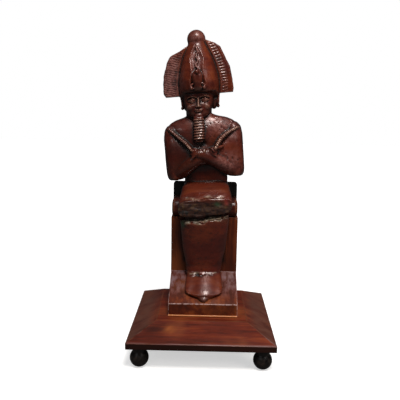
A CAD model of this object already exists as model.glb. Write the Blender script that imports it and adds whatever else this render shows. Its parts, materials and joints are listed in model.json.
# %% [markdown]
# A small bronze king on a wooden stand
#
# The real thing is two things made centuries apart. The king is one bronze, cast by
# the lost-wax way, with a glossy red-brown patina, pitted and mended across the
# knees and the ankles. The stand is modern: polished red-brown boards, a black back
# board, and four black ball feet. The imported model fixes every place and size, so
# this lesson builds each visible piece around it, then gives it its finish.

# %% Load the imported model
import json
import math

import bmesh
import bpy
import numpy as np
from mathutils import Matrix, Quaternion, Vector, noise

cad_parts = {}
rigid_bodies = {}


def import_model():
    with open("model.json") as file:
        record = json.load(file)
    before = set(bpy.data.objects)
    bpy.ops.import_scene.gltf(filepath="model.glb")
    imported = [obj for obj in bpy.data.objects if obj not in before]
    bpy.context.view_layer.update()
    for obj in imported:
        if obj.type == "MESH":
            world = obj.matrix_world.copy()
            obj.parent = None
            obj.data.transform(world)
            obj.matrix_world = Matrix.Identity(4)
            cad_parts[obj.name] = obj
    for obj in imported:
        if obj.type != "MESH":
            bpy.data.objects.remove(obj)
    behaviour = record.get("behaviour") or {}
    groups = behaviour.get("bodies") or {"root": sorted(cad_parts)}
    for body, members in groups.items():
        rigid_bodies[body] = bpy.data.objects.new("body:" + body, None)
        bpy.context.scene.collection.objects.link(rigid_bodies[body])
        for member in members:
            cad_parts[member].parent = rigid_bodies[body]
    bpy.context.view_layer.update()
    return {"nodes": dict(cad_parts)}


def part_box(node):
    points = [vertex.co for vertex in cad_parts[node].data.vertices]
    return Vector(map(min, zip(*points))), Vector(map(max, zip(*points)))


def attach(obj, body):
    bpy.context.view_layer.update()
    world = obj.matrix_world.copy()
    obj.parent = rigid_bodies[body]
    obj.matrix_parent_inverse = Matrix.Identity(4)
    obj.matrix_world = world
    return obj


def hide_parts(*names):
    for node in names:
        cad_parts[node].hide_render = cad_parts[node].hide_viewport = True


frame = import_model()
MM = 0.001
print("packed pieces:", ", ".join(sorted(frame["nodes"])))

# %% [markdown]
# The camera
#
# The photograph was taken from a little above the lap, nearly square on. The two
# angles, the small roll and the lens were found by lining up the plinth's four
# corners, the footrest and the throne. Setting the camera first means that each
# later piece can be compared with the photograph at once.

# %% Place the camera
CAMERA_PLACE = Vector((2.6 * MM, -428.6 * MM, 203.2 * MM))
CAMERA_TURN = math.radians(0.82)
CAMERA_DIP = math.radians(9.84)
CAMERA_ROLL = math.radians(0.97)
CAMERA_LENS = 45.1

bpy.ops.object.camera_add(location=CAMERA_PLACE)
camera = bpy.context.object
camera.name = "camera"
view_line = Vector((-math.sin(CAMERA_TURN) * math.cos(CAMERA_DIP),
                    math.cos(CAMERA_TURN) * math.cos(CAMERA_DIP), -math.sin(CAMERA_DIP)))
aim = view_line.to_track_quat("-Z", "Y") @ Quaternion((0, 0, 1), CAMERA_ROLL)
camera.rotation_euler = aim.to_euler()
camera.data.lens = CAMERA_LENS
camera.data.sensor_width = 36.0
camera.data.clip_start = 0.01
bpy.context.scene.camera = camera
print("camera looks down", round(math.degrees(CAMERA_DIP), 1), "degrees")

# %% [markdown]
# Floor and background
#
# The photograph is a cut-out on white. Polished dark things are mostly seen by what
# they reflect, and there they reflect a dark room. So the world and the floor are
# white where the camera sees them, and dim for the light that reaches the object.
# The floor is part lit paint, which takes the shadow, and part glow, which keeps it
# white to the horizon. The back of the room is brighter than the front, so that the
# object's back isn't lost in the dark.

# %% Lay the floor
FLOOR_SIZE = 6.0
FLOOR_DROP = 0.0001
WHITE_NEAR, WHITE_FAR = 0.10, 0.40
GLOW_NEAR, GLOW_FAR = 0.55, 1.0
PAINT_SEEN, PAINT_FOR_LIGHT = 0.80, 0.10
bpy.ops.mesh.primitive_plane_add(size=FLOOR_SIZE, location=(0, 0, -FLOOR_DROP))
floor = bpy.context.object
floor.name = "floor"


def choose(tree, ray, otherwise, when_ray):
    """One shader for most rays and another for rays of one kind."""
    rays = tree.nodes.new("ShaderNodeLightPath")
    made = tree.nodes.new("ShaderNodeMixShader")
    tree.links.new(rays.outputs[ray], made.inputs["Fac"])
    tree.links.new(otherwise, made.inputs[1])
    tree.links.new(when_ray, made.inputs[2])
    return made.outputs["Shader"]


def paint(tree, grey):
    made = tree.nodes.new("ShaderNodeBsdfDiffuse")
    made.inputs["Color"].default_value = (grey, grey, grey, 1)
    return made.outputs["BSDF"]


def run_between(tree, source, start, end, low, high):
    """A number that goes from low to high while the source goes from start to end."""
    made = tree.nodes.new("ShaderNodeMapRange")
    for name, value in (("From Min", start), ("From Max", end), ("To Min", low), ("To Max", high)):
        made.inputs[name].default_value = value
    tree.links.new(source, made.inputs["Value"])
    return made.outputs["Result"]


floor_paint = bpy.data.materials.new("pale_floor")
floor_paint.use_nodes = True
tree = floor_paint.node_tree
tree.nodes.clear()
where = tree.nodes.new("ShaderNodeTexCoord")
distance = tree.nodes.new("ShaderNodeVectorMath")
distance.operation = "LENGTH"
tree.links.new(where.outputs["Object"], distance.inputs[0])
glow_strength = run_between(tree, distance.outputs["Value"], WHITE_NEAR, WHITE_FAR, GLOW_NEAR, GLOW_FAR)
glow = tree.nodes.new("ShaderNodeEmission")
tree.links.new(glow_strength, glow.inputs["Strength"])
lit_and_glowing = tree.nodes.new("ShaderNodeAddShader")
tree.links.new(paint(tree, PAINT_SEEN), lit_and_glowing.inputs[0])
tree.links.new(glow.outputs["Emission"], lit_and_glowing.inputs[1])
floor_look = choose(tree, "Is Camera Ray", paint(tree, PAINT_FOR_LIGHT), lit_and_glowing.outputs["Shader"])
output = tree.nodes.new("ShaderNodeOutputMaterial")
tree.links.new(floor_look, output.inputs["Surface"])
floor.data.materials.append(floor_paint)
print("floor", FLOOR_SIZE, "m wide")

# %% Brighten the room behind
DIM_FRONT, BRIGHT_BACK = 0.07, 0.85
FRONT_OF_ROOM, BACK_OF_ROOM = -0.1, 0.9
SKY_IN_GLOSS = 0.035
COOL_WHITE = (0.85, 0.90, 1.0, 1)
world = bpy.data.worlds.new("studio")
bpy.context.scene.world = world
world.use_nodes = True
tree = world.node_tree
tree.nodes.clear()


def sky(strength, colour=(1, 1, 1, 1)):
    made = tree.nodes.new("ShaderNodeBackground")
    made.inputs["Color"].default_value = colour
    made.inputs["Strength"].default_value = strength
    return made.outputs["Background"]


direction = tree.nodes.new("ShaderNodeTexCoord")
split = tree.nodes.new("ShaderNodeSeparateXYZ")
tree.links.new(direction.outputs["Generated"], split.inputs["Vector"])
fill_strength = run_between(tree, split.outputs["Y"], FRONT_OF_ROOM, BACK_OF_ROOM, DIM_FRONT, BRIGHT_BACK)
fill = sky(1.0)
tree.links.new(fill_strength, fill.node.inputs["Strength"])
room = choose(tree, "Is Glossy Ray", fill, sky(SKY_IN_GLOSS, COOL_WHITE))
output = tree.nodes.new("ShaderNodeOutputWorld")
tree.links.new(choose(tree, "Is Camera Ray", room, sky(1.0)), output.inputs["Surface"])
print("room light from", DIM_FRONT, "in front to", BRIGHT_BACK, "behind")

# %% [markdown]
# Lamps
#
# The photograph's highlights show one large lamp above and a little to the right, so
# a soft box there does most of the work. A wide one on the right only lifts the
# shadows, and it is hidden from reflections, where it would show as a second
# highlight. Two small ones give the glints along the arms and beads, and a faint one
# behind draws the top edges.

# %% Set the lamps
def soft_box(name, place, width, depth, watts, colour=(1, 1, 1)):
    """A rectangular lamp that faces the middle of the object."""
    bpy.ops.object.light_add(type="AREA", location=place)
    lamp = bpy.context.object
    lamp.name = name
    lamp.data.shape = "RECTANGLE"
    lamp.data.size = width
    lamp.data.size_y = depth
    lamp.data.energy = watts
    lamp.data.color = colour
    lamp.rotation_euler = (OBJECT_MIDDLE - Vector(place)).to_track_quat("-Z", "Y").to_euler()
    return lamp


OBJECT_MIDDLE = Vector((0.0, 0.0, 0.14))
soft_box("box_above", (0.10, -0.40, 0.88), 0.24, 0.30, 6.6, (1.0, 0.96, 0.92))
fill_right = soft_box("fill_right", (0.66, -0.46, 0.42), 0.40, 0.40, 1.75, (1.0, 0.93, 0.86))
fill_right.visible_glossy = False
soft_box("glint_right", (0.46, -0.50, 0.52), 0.16, 0.22, 0.30, (1.0, 0.95, 0.92))
soft_box("glint_left", (-0.42, -0.60, 0.50), 0.10, 0.18, 0.30)
soft_box("box_behind", (0.0, 0.32, 0.95), 0.50, 0.12, 0.14, (0.90, 0.92, 1.0))
bpy.context.scene.view_settings.view_transform = "Standard"

# %% [markdown]
# Helpers for working as if by hand
#
# Blender's operators act on whatever is selected, so each step first clears the
# selection, makes one piece active, and picks faces or edges by where they are.

# %% Selecting and finishing
def only(piece):
    """Selects one piece and makes it active."""
    bpy.ops.object.select_all(action="DESELECT")
    piece.select_set(True)
    bpy.context.view_layer.objects.active = piece


def pick(piece, kind, wanted):
    """Goes into edit mode with just the faces, edges or vertices that a test wants."""
    only(piece)
    bpy.ops.object.mode_set(mode="EDIT")
    bpy.ops.mesh.select_mode(type={"faces": "FACE", "edges": "EDGE", "verts": "VERT"}[kind])
    bpy.ops.mesh.select_all(action="DESELECT")
    shape = bmesh.from_edit_mesh(piece.data)
    for part in getattr(shape, kind):
        if wanted(part):
            part.select_set(True)
    shape.select_flush_mode()
    bmesh.update_edit_mesh(piece.data)


def done():
    bpy.ops.object.mode_set(mode="OBJECT")


def apply(piece, kind, **settings):
    """Adds a modifier with these settings and applies it."""
    only(piece)
    modifier = piece.modifiers.new(kind.lower(), kind)
    for name, value in settings.items():
        setattr(modifier, name, value)
    bpy.ops.object.modifier_apply(modifier=modifier.name)
    return piece


def coordinates(piece):
    points = np.empty(len(piece.data.vertices) * 3)
    piece.data.vertices.foreach_get("co", points)
    return points.reshape(-1, 3)


def set_coordinates(piece, points):
    piece.data.vertices.foreach_set("co", np.ascontiguousarray(points).ravel())
    piece.data.update()


def hand_over(piece, name, finish, node):
    """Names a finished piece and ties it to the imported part."""
    piece.name = name
    piece.data.materials.clear()
    piece.data.materials.append(finish)
    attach(piece, "root")
    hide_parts(node)
    triangles = sum(len(face.vertices) - 2 for face in piece.data.polygons)
    print(name, "has", triangles, "triangles")


# %% [markdown]
# Stained wood
#
# The boards are a close-grained hardwood, stained red-brown and polished. Three
# things make it read as wood: long dark streaks along the board, broad orange
# patches where the stain took less, and a worn pale line on each sharp edge. The
# grain is one noise stretched along the board, read from object coordinates so that
# each board can run its own way. The edges' wear is an attribute that is painted on
# the narrow rounded faces when the boards are made.

# %% Wood finishes
def node(tree, kind, **values):
    """A new node with input values given by name."""
    made = tree.nodes.new("ShaderNode" + kind)
    for name, value in values.items():
        made.inputs[name.replace("_", " ")].default_value = value
    return made


def ramp(tree, source, *stops):
    """A colour ramp from (position, colour) stops, where a plain number is a grey."""
    made = tree.nodes.new("ShaderNodeValToRGB")
    for position, colour in stops[2:]:
        made.color_ramp.elements.new(position)
    for element, (position, colour) in zip(made.color_ramp.elements, stops):
        element.position = position
        element.color = (*colour, 1.0) if isinstance(colour, tuple) else (colour, colour, colour, 1.0)
    tree.links.new(source, made.inputs["Fac"])
    return made.outputs["Color"]


def blend_colours(tree, amount, first, second):
    """Mixes two colours; any of the three can be a socket or a value."""
    mix = tree.nodes.new("ShaderNodeMix")
    mix.data_type = "RGBA"
    for socket, value in ((mix.inputs[0], amount), (mix.inputs[6], first), (mix.inputs[7], second)):
        if hasattr(value, "is_output"):
            tree.links.new(value, socket)
        else:
            socket.default_value = value if isinstance(value, float) else (*value, 1.0)
    return mix.outputs[2]


def calculate(tree, kind, first, second):
    """One arithmetic node between sockets or values."""
    made = tree.nodes.new("ShaderNodeMath")
    made.operation = kind
    made.use_clamp = True
    for socket, value in zip(made.inputs, (first, second)):
        if hasattr(value, "is_output"):
            tree.links.new(value, socket)
        else:
            socket.default_value = value
    return made.outputs[0]


def attribute(tree, name):
    made = tree.nodes.new("ShaderNodeAttribute")
    made.attribute_name = name
    return made.outputs["Fac"]


def patchy(tree, name, source, low, high):
    """A mark's strength, broken up by a noise that runs between two stops."""
    return calculate(tree, "MULTIPLY", attribute(tree, name), ramp(tree, source, low, high))


def layered(tree, colour, *layers):
    """Lays finishes over a colour. Each has an amount, or a mark's name, and a tint."""
    for amount, tint in layers:
        if isinstance(amount, str):
            amount = attribute(tree, amount)
        colour = blend_colours(tree, amount, colour, tint)
    return colour


def noise_of(tree, place, scale, detail=4.0, roughness=0.55):
    made = node(tree, "TexNoise", Scale=scale, Detail=detail, Roughness=roughness)
    tree.links.new(place, made.inputs["Vector"])
    return made.outputs["Fac"]


def placed(tree, location=(0.0, 0.0, 0.0), stretch=(1.0, 1.0, 1.0)):
    """Object coordinates, moved and stretched."""
    where = tree.nodes.new("ShaderNodeTexCoord")
    moved = tree.nodes.new("ShaderNodeMapping")
    moved.inputs["Location"].default_value = location
    moved.inputs["Scale"].default_value = stretch
    tree.links.new(where.outputs["Object"], moved.inputs["Vector"])
    return moved.outputs["Vector"]


def bumped(tree, height, strength, distance, below=None):
    made = node(tree, "Bump", Strength=strength, Distance=distance)
    tree.links.new(height, made.inputs["Height"])
    if below:
        tree.links.new(below, made.inputs["Normal"])
    return made.outputs["Normal"]


def new_finish(name):
    made = bpy.data.materials.new(name)
    made.use_nodes = True
    return made, made.node_tree, made.node_tree.nodes["Principled BSDF"]


print("helpers for finishes are ready")

# %% Red-brown boards
DARK_STAIN = (0.016, 0.0045, 0.0025)
RED_STAIN = (0.120, 0.0150, 0.0050)
BRIGHT_STAIN = (0.210, 0.038, 0.0095)
ORANGE_PATCH = (0.32, 0.085, 0.018)
WORN_EDGE = (0.13, 0.040, 0.018)
PALE_FINISH = (0.62, 0.24, 0.09)
GREY_BROWN = (0.105, 0.048, 0.032)
VIOLET_DUST = (0.175, 0.105, 0.112)
GRAIN_STRETCH = 0.075


def stained_wood(name, along, shift, dark, mid, light, patch, worn_edge=WORN_EDGE):
    """Polished stained wood with its grain along one axis."""
    made, tree, shader = new_finish(name)
    stretch = [1.0, 1.0, 1.0]
    stretch["XYZ".index(along)] = GRAIN_STRETCH
    place = placed(tree, (shift, shift * 0.7, shift * 1.3), stretch)
    fibre = noise_of(tree, place, 900.0, 3.0, 0.6)
    figure_lines = noise_of(tree, place, 190.0, 5.0, 0.62)
    broad = noise_of(tree, placed(tree, (shift, 0.0, shift)), 26.0, 2.0, 0.5)
    deep = tuple((a + b) / 2 for a, b in zip(dark, mid))
    pores = tuple(c * 0.5 for c in dark)
    colour = layered(
        tree, ramp(tree, figure_lines, (0.36, deep), (0.50, mid), (0.64, light)),
        (ramp(tree, broad, (0.54, 0.0), (0.72, 0.8)), patch),
        (ramp(tree, broad, (0.30, 0.75), (0.46, 0.0)), deep),
        (ramp(tree, fibre, (0.32, 0.45), (0.46, 0.0)), pores),
        (patchy(tree, "worn", noise_of(tree, place, 420.0), (0.36, 0.0), (0.58, 1.0)), worn_edge),
        ("pale_bead", PALE_FINISH),
        ("light_spot", ORANGE_PATCH),
        (patchy(tree, "grey_side", figure_lines, (0.38, 0.35), (0.60, 1.0)), GREY_BROWN),
        (patchy(tree, "dusty", figure_lines, (0.42, 0.0), (0.62, 1.0)), VIOLET_DUST),
        ("dark_edge", dark))
    tree.links.new(colour, shader.inputs["Base Color"])
    tree.links.new(ramp(tree, broad, (0.3, 0.28), (0.7, 0.42)), shader.inputs["Roughness"])
    shader.inputs["Specular IOR Level"].default_value = 0.30
    shader.inputs["Coat Weight"].default_value = 0.08
    shader.inputs["Coat Roughness"].default_value = 0.15
    grain = bumped(tree, fibre, 0.30, 0.08 * MM)
    swell = noise_of(tree, placed(tree, (0.0, shift, 0.0)), 70.0, 2.0)
    tree.links.new(bumped(tree, swell, 0.25, 0.25 * MM, grain), shader.inputs["Normal"])
    return made


plinth_wood = stained_wood("stained_wood_plinth", "X", 0.31, DARK_STAIN, RED_STAIN, BRIGHT_STAIN,
                           patch=(0.24, 0.056, 0.014))
upright_wood = stained_wood("stained_wood_throne", "Z", 0.77, dark=(0.006, 0.0025, 0.0018),
                            mid=(0.075, 0.0125, 0.004), light=(0.145, 0.030, 0.008),
                            patch=(0.19, 0.045, 0.011))
wedge_wood = stained_wood("stained_wood_footrest", "Y", 0.52, DARK_STAIN, mid=(0.100, 0.017, 0.006),
                          light=(0.185, 0.040, 0.010), patch=(0.27, 0.070, 0.015),
                          worn_edge=(0.42, 0.27, 0.25))
seat_wood = stained_wood("stained_wood_seat", "X", 0.13, DARK_STAIN, mid=(0.045, 0.007, 0.004),
                         light=(0.080, 0.014, 0.007), patch=(0.09, 0.022, 0.008))
print("stained finishes:", plinth_wood.name, upright_wood.name, wedge_wood.name, seat_wood.name)

# %% Black boards and feet
BLACK_DEEP, BLACK_LIGHT = (0.003, 0.0024, 0.002), (0.011, 0.008, 0.0065)
BLACK_SCUFF = (0.07, 0.045, 0.035)


def blackened_wood(name, shift):
    """Near-black polished wood with faint grain, scuffs and dust."""
    made, tree, shader = new_finish(name)
    lines = noise_of(tree, placed(tree, (shift, 0.0, shift), (1.0, 1.0, 0.12)), 420.0, 4.0)
    scuffs = noise_of(tree, placed(tree, (0.0, shift, 0.0)), 240.0, 6.0, 0.7)
    colour = layered(tree, ramp(tree, lines, (0.35, BLACK_DEEP), (0.65, BLACK_LIGHT)),
                     (patchy(tree, "worn", scuffs, (0.5, 0.0), (0.64, 1.0)), BLACK_SCUFF))
    tree.links.new(colour, shader.inputs["Base Color"])
    tree.links.new(ramp(tree, scuffs, (0.35, 0.24), (0.7, 0.5)), shader.inputs["Roughness"])
    tree.links.new(bumped(tree, scuffs, 0.12, 0.1 * MM), shader.inputs["Normal"])
    return made


black_wood = blackened_wood("blackened_wood", 0.4)
print("black finish:", black_wood.name)

# %% [markdown]
# Boards
#
# Each board starts as a cube added at its packed size. A bevel modifier takes the
# sharpness off its edges, as a maker's last pass with sandpaper does, and only
# those narrow faces are marked as worn. A bevel can leave points on top of each
# other, so they are welded. Subdividing the broad four-sided faces and moving their
# points by a tenth of a millimetre makes them a little less than flat, which is what
# breaks up a reflection on real hand-finished wood. Blender's noise takes its start
# from the clock unless it is given a seed, so it gets one, and each run makes the same
# boards. Stains that have their own place on a board are kept as attributes, each from
# a formula of the place.

# %% Making boards
ARRIS = 0.55 * MM
WELD = 0.01 * MM
BROAD_SHARE = 0.012
WANDER_SCALE = 60.0
WANDER_SEED = 1
noise.seed_set(WANDER_SEED)


def stain(piece, name, amount):
    """Keeps a stain's strength at each corner, from a function of the place."""
    layer = piece.data.attributes.new(name, "FLOAT", "POINT")
    values = np.array([amount(*vertex.co) for vertex in piece.data.vertices], np.float32)
    layer.data.foreach_set("value", values)


def climb(value, start, run):
    """Rises from 0 to 1 over a run."""
    return min(1.0, max(0.0, (value - start) / run))


def spot(x, y, middle, half_x, half_y):
    """A soft round patch, strongest in its middle."""
    return math.exp(-((x - middle[0]) / half_x) ** 2 - ((y - middle[1]) / half_y) ** 2)


def cube_between(low, high):
    bpy.ops.object.select_all(action="DESELECT")
    size = Vector(high) - Vector(low)
    bpy.ops.mesh.primitive_cube_add(size=1, location=(Vector(low) + Vector(high)) / 2, scale=size)
    piece = bpy.context.object
    bpy.ops.object.transform_apply(location=True, rotation=True, scale=True)
    return piece


def round_edges(piece, wanted, radius, segments):
    """Bevels the edges whose two ends pass a test."""
    pick(piece, "edges", lambda edge: wanted(*(v.co for v in edge.verts)))
    bpy.ops.mesh.bevel(offset=radius, segments=segments, profile=0.5, affect="EDGES")
    done()


def sand_and_wear(piece, seed, spacing=2.5 * MM, depth=0.06 * MM, arris=ARRIS):
    """Softens every sharp edge, marks it as worn, and makes the faces less flat."""
    apply(piece, "BEVEL", width=arris, segments=3, limit_method="ANGLE", angle_limit=math.radians(22))
    pick(piece, "verts", lambda vertex: True)
    bpy.ops.mesh.remove_doubles(threshold=WELD)
    bpy.ops.mesh.dissolve_degenerate(threshold=WELD)
    done()
    sizes = [face.area for face in piece.data.polygons]
    broad = max(sizes) * BROAD_SHARE
    worn = piece.data.attributes.new("worn", "FLOAT", "CORNER")
    marks = np.zeros(len(piece.data.loops), np.float32)
    for face in piece.data.polygons:
        if face.area < broad:
            marks[face.loop_start:face.loop_start + face.loop_total] = 1.0
    worn.data.foreach_set("value", marks)
    pick(piece, "faces", lambda face: face.calc_area() >= broad and len(face.verts) == 4)
    cuts = 4
    for _ in range(3):
        shape = bmesh.from_edit_mesh(piece.data)
        longest = max((e.calc_length() for f in shape.faces if f.select for e in f.edges), default=0.0)
        if longest <= spacing:
            break
        bpy.ops.mesh.subdivide(number_cuts=cuts, smoothness=0.0)
        cuts = 1
    done()
    points = coordinates(piece)
    wander = np.array([noise.noise_vector(Vector(p) * WANDER_SCALE + Vector((seed, 0, 0))) for p in points])
    set_coordinates(piece, points + depth * wander)
    only(piece)
    bpy.ops.object.shade_smooth_by_angle(angle=math.radians(35))
    return piece


print("boards will be welded at", WELD / MM, "mm")

# %% Plinth
EDGE_HEIGHT = 5.3 * MM
BEVEL_RUN = 22.5 * MM
SPOT, SPOT_SIZE = (-26.0 * MM, -46.5 * MM), 3.4 * MM
DARK_CLOUD, CLOUD_HALF_X, CLOUD_HALF_Y = (-38.0 * MM, -46.0 * MM), 9 * MM, 6 * MM
GREY_RUN = 9 * MM
DUSTY_BAND, DUSTY_DEPTH = 0.45 * MM, 3 * MM
LIP_GAP = 0.3 * MM
low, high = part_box("plinth")
plinth = cube_between(low, (high.x, high.y, low.z + EDGE_HEIGHT))
pick(plinth, "faces", lambda face: face.normal.z > 0.9)
bpy.ops.mesh.extrude_region_move(TRANSFORM_OT_translate={"value": (0, 0, high.z - low.z - EDGE_HEIGHT)})
shrink = 1 - 2 * BEVEL_RUN / (high.x - low.x)
bpy.ops.transform.resize(value=(shrink, shrink, 1))
done()
sand_and_wear(plinth, 1.0)
side_start = high.x - BEVEL_RUN


def front_arris(x, y, z):
    """The long edge that faces the front, between the side and the bevel."""
    return 0.9 * (abs(z - low.z - EDGE_HEIGHT) < DUSTY_BAND) * (y < low.y + DUSTY_DEPTH)


def lip_and_cloud(x, y, z):
    """The near-black side of the board, and a dark cloud on the front bevel."""
    if z < low.z + EDGE_HEIGHT - LIP_GAP:
        return 0.95
    return 0.6 * spot(x, y, DARK_CLOUD, CLOUD_HALF_X, CLOUD_HALF_Y)


stain(plinth, "light_spot", lambda x, y, z: spot(x, y, SPOT, SPOT_SIZE, SPOT_SIZE))
stain(plinth, "grey_side", lambda x, y, z: 0.8 * climb(abs(x), side_start, GREY_RUN) * (abs(x) > abs(y)))
stain(plinth, "dusty", front_arris)
stain(plinth, "dark_edge", lip_and_cloud)
hand_over(plinth, "plinth_board", plinth_wood, "plinth")

# %% Throne block
SOOT_HALF = 19.3 * MM
SOOT_FOOT = 6.5 * MM
low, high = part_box("throne_block")
throne = sand_and_wear(cube_between(low, high), 2.0)
wedge_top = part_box("footrest")[1].z
throne_middle = (low.x + high.x) / 2


def behind_shins(x, y, z):
    """The dark band on the front face, above the footrest."""
    across = abs(x - throne_middle) < SOOT_HALF
    return 0.95 * across * (z > wedge_top + SOOT_FOOT) * (y < low.y + MM)


stain(throne, "dark_edge", behind_shins)
hand_over(throne, "throne_block_wood", upright_wood, "throne_block")

# %% Footrest
FOOTREST_FRONT = 10.9 * MM - 0.3 * MM
CLEAR_OF_FOOT, FOOT_FADE = 12 * MM, 6 * MM
CLEAR_OF_FRONT, FRONT_FADE = 6 * MM, 14 * MM
SKIN_DEPTH = 0.7 * MM
BEAD = 1.0 * MM
low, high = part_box("footrest")
wedge = cube_between(low, high)
pick(wedge, "edges", lambda edge: all(v.co.z > high.z - MM and v.co.y < low.y + MM for v in edge.verts))
bpy.ops.transform.translate(value=(0, 0, low.z + FOOTREST_FRONT - high.z))
done()
sand_and_wear(wedge, 3.0)
wedge_half = (high.x - low.x) / 2


def dust_on_slope(x, y, z):
    """A sheen on the slope, at each side of the foot and not on the wedge's sides."""
    rise = (high.z - low.z - FOOTREST_FRONT) / (high.y - low.y)
    beside_foot = climb(abs(x - low.x - wedge_half), CLEAR_OF_FOOT, FOOT_FADE)
    up_slope = climb(y - low.y, CLEAR_OF_FRONT, FRONT_FADE)
    return beside_foot * up_slope * (z > low.z + FOOTREST_FRONT + (y - low.y) * rise - SKIN_DEPTH)


stain(wedge, "dusty", dust_on_slope)
bead = cube_between((low.x, low.y - BEAD, low.z), (high.x, low.y + 0.2 * MM, low.z + BEAD))
apply(bead, "BEVEL", width=0.3 * MM, segments=3)
stain(bead, "pale_bead", lambda x, y, z: 1.0)
only(wedge)
bead.select_set(True)
bpy.ops.object.join()
hand_over(wedge, "footrest_wedge", wedge_wood, "footrest")

# %% Seat board and back board
SEAT_ROUNDING = 6.6 * MM
SEAT_END_ROUNDING = 2.4 * MM
BACK_CORNER = 2.5 * MM
low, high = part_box("seat_board")
seat = cube_between(low, high)
round_edges(seat, lambda a, b: max(a.y, b.y) < high.y - MM and abs(a.z - b.z) < MM, SEAT_ROUNDING, 8)
at_end = high.x - low.x - MM
round_edges(seat, lambda a, b: abs(a.x - b.x) < MM and abs(2 * a.x - low.x - high.x) > at_end
            and min(a.y, b.y) < high.y - MM, SEAT_END_ROUNDING, 4)
sand_and_wear(seat, 4.0, depth=0.1 * MM, arris=0.2 * MM)
hand_over(seat, "seat_board_rounded", seat_wood, "seat_board")

low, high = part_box("back_board")
back = cube_between(low, high)
round_edges(back, lambda a, b: min(a.z, b.z) > high.z - MM and abs(a.x - b.x) < MM, BACK_CORNER, 6)
sand_and_wear(back, 5.0)
hand_over(back, "back_board_black", black_wood, "back_board")

# %% [markdown]
# Ball feet
#
# The feet were turned on a lathe: a ball, cut flat where it stands, with a short
# neck up to the plinth. A sphere is cut by two planes with bisect, which fills each
# cut, and its top face is extruded up for the neck. The same function turns all four.

# %% Turning the ball feet
BALL_RADIUS = 7.7 * MM
NECK_RADIUS = 5.5 * MM
FOOT_SEGMENTS, FOOT_RINGS = 48, 28
STANDING_SHARE = 0.955
FOOT_WEAR = 0.35


def turned_foot(node_name):
    low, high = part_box(node_name)
    centre = Vector(((low.x + high.x) / 2, (low.y + high.y) / 2, low.z + STANDING_SHARE * BALL_RADIUS))
    bpy.ops.object.select_all(action="DESELECT")
    bpy.ops.mesh.primitive_uv_sphere_add(segments=FOOT_SEGMENTS, ring_count=FOOT_RINGS,
                                         radius=BALL_RADIUS, location=centre)
    piece = bpy.context.object
    bpy.ops.object.transform_apply(location=True, rotation=True, scale=True)
    neck_height = centre.z + math.sqrt(BALL_RADIUS ** 2 - NECK_RADIUS ** 2)
    for height, keeps_above in ((low.z, True), (neck_height, False)):
        pick(piece, "faces", lambda face: True)
        bpy.ops.mesh.bisect(plane_co=(0, 0, height), plane_no=(0, 0, 1), use_fill=True,
                            clear_inner=keeps_above, clear_outer=not keeps_above)
        done()
    top = neck_height - 0.1 * MM
    pick(piece, "faces", lambda face: face.normal.z > 0.99 and face.calc_center_median().z > top)
    bpy.ops.mesh.extrude_region_move(TRANSFORM_OT_translate={"value": (0, 0, high.z - neck_height)})
    done()
    apply(piece, "BEVEL", width=0.3 * MM, segments=2, limit_method="ANGLE", angle_limit=math.radians(35))
    only(piece)
    bpy.ops.object.shade_smooth_by_angle(angle=math.radians(50))
    worn = piece.data.attributes.new("worn", "FLOAT", "POINT")
    worn.data.foreach_set("value", np.full(len(piece.data.vertices), FOOT_WEAR, np.float32))
    hand_over(piece, node_name + "_turned", black_wood, node_name)


for end in ("front", "rear"):
    for hand in ("left", "right"):
        turned_foot(f"ball_foot_{end}_{hand}")

# %% [markdown]
# The figure's places
#
# Everything on the king is drawn in its own upright frame, in millimetres: x across,
# f forward of the back board, h above the seat. The casting isn't straight: its body
# leans and drifts to the left as it rises. So each form is drawn plain and then
# settled, which shifts it sideways by its height and tips it by the lean.

# %% From the figure's frame to the real one
seat_low, seat_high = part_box("seat_board")
SEAT_TOP = seat_high.z
THRONE_MIDDLE = (seat_low.x + seat_high.x) / 2
BACK_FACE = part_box("back_board")[0].y
THRONE_DEPTH = (BACK_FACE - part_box("throne_block")[0].y) / MM
wedge_low, wedge_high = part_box("footrest")
SLOPE = math.atan2(wedge_high.z - wedge_low.z - FOOTREST_FRONT, wedge_high.y - wedge_low.y)
LEAN = math.radians(5.2)
DRIFT_HEIGHTS = (-80.0, 0.0, 18.0, 62.0, 73.0, 97.0, 145.0)
DRIFT = (0.7, 1.1, 0.7, -3.3, -5.5, -6.7, -10.6)


def settle(points, lean):
    """Real places of points given as x, f and h."""
    x, f, h = np.asarray(points, float).T
    across = THRONE_MIDDLE + MM * (np.interp(h, DRIFT_HEIGHTS, DRIFT) + x * math.cos(lean))
    return np.column_stack([across, BACK_FACE - MM * f, SEAT_TOP + MM * (h + x * math.sin(lean))])


def unsettle(places, lean):
    """x, f and h of real places."""
    up = (places[:, 2] - SEAT_TOP) / MM
    h = up.copy()
    for _ in range(3):
        x = ((places[:, 0] - THRONE_MIDDLE) / MM - np.interp(h, DRIFT_HEIGHTS, DRIFT)) / math.cos(lean)
        h = up - x * math.sin(lean)
    return np.column_stack([x, (BACK_FACE - places[:, 1]) / MM, h])


print("footrest slope", round(math.degrees(SLOPE), 1), "degrees")

# %% [markdown]
# Forms from rings
#
# A sculptor builds such a figure from masses. Here each mass is a sheet wrapped into
# a tube: a grid is added, its rows are laid on rings worked out by a formula, the
# seam is merged and both ends are filled. A grid is used and not a stack of
# extrusions, because a body needs a different size and middle for every ring, and a
# curve through a few named sections gives them all smoothly.

# %% Wrapping sheets into closed forms
forms = []


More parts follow.
